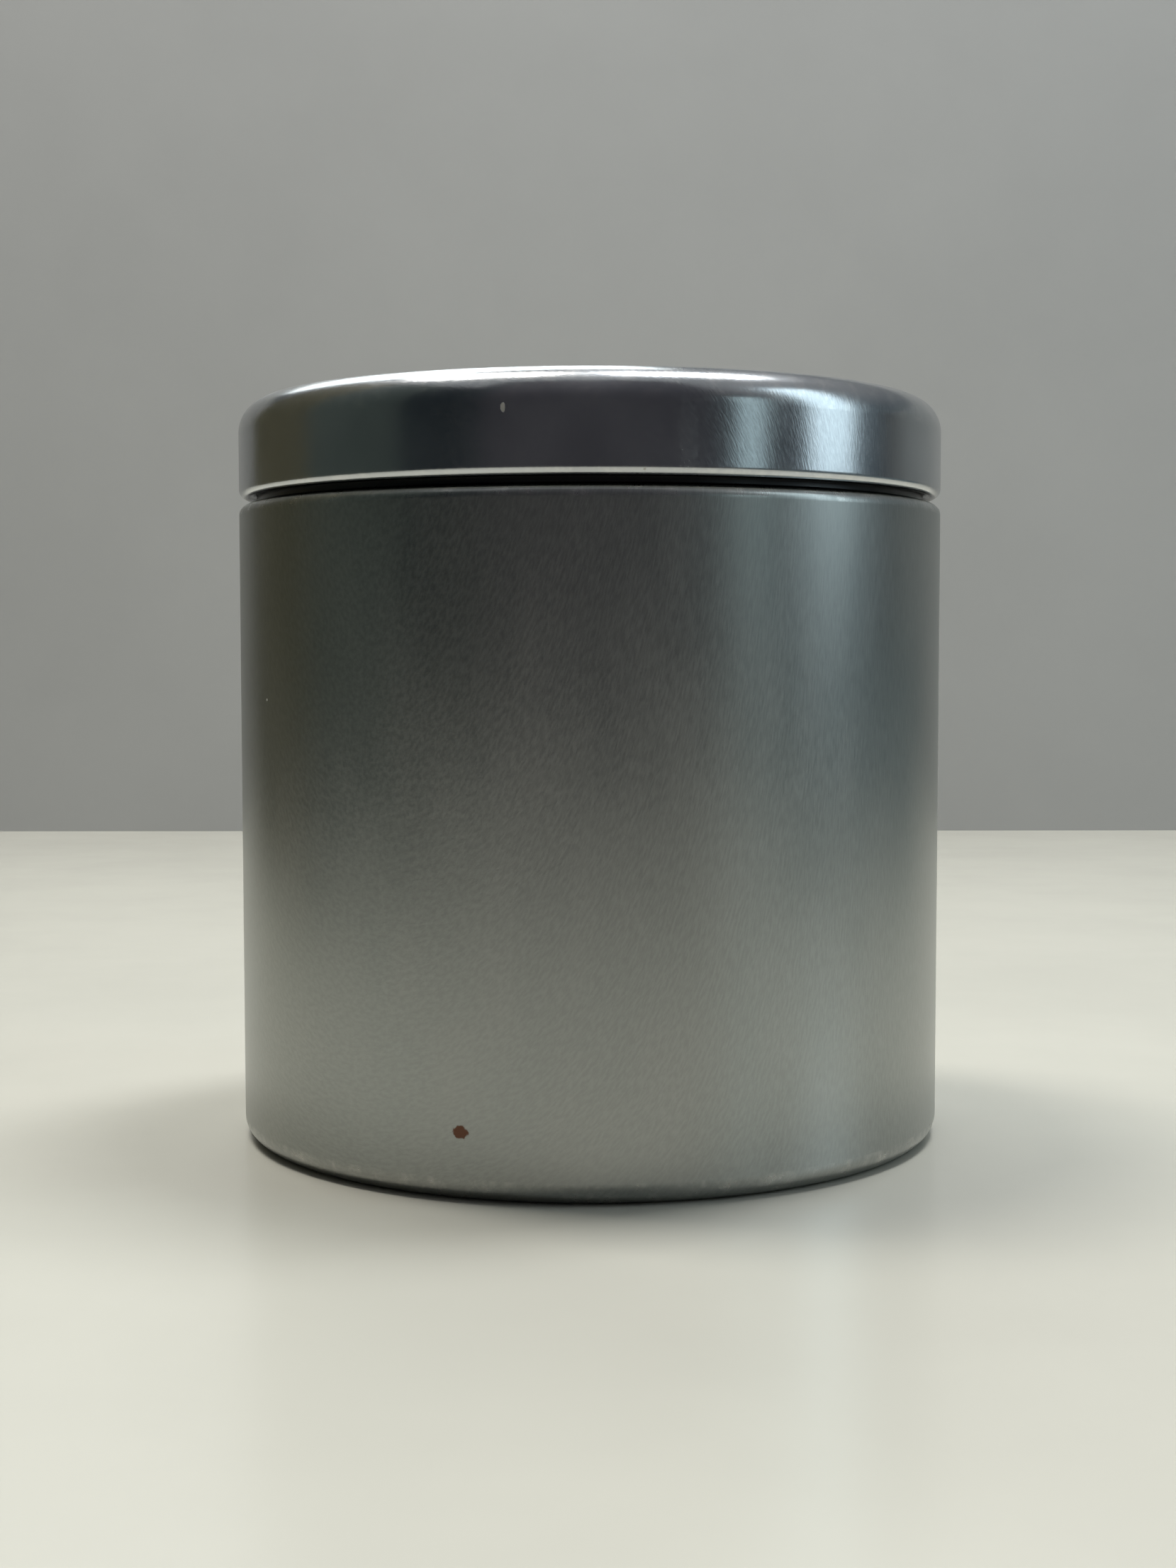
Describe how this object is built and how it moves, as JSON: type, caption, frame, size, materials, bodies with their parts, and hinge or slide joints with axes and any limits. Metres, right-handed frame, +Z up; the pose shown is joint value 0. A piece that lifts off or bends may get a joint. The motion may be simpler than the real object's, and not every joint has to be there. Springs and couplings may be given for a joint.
{
  "type": "window lid tin",
  "caption": "Round drawn tinplate tin with a flush slip lid; a pressed ring holds a clear window under the lid's top.",
  "frame": {"origin": "middle of the standing ring's underside, on the surface that the tin stands on", "axes": "+Z up along the axis of revolution, from the base to the lid; +X and +Y level, free by symmetry"},
  "size_m": [0.086, 0.086, 0.0896],
  "materials": {
    "body_tinplate": "dull, finely grained tinplate",
    "lid_tinplate": "smooth semi-bright tinplate",
    "clear_pane": "clear glossy film-grade plastic",
    "ring_tinplate": "plain satin tinplate"
  },
  "bodies": {
    "tin": {"tin_body": "body_tinplate"},
    "lid": {"lid_shell": "lid_tinplate", "window_pane": "clear_pane", "window_ring": "ring_tinplate"}
  },
  "joints": [
    {"name": "lid_lift", "type": "slide", "parent": "tin", "child": "lid", "axis": [0, 0, 1], "range_m": [0, 0.04]}
  ]
}
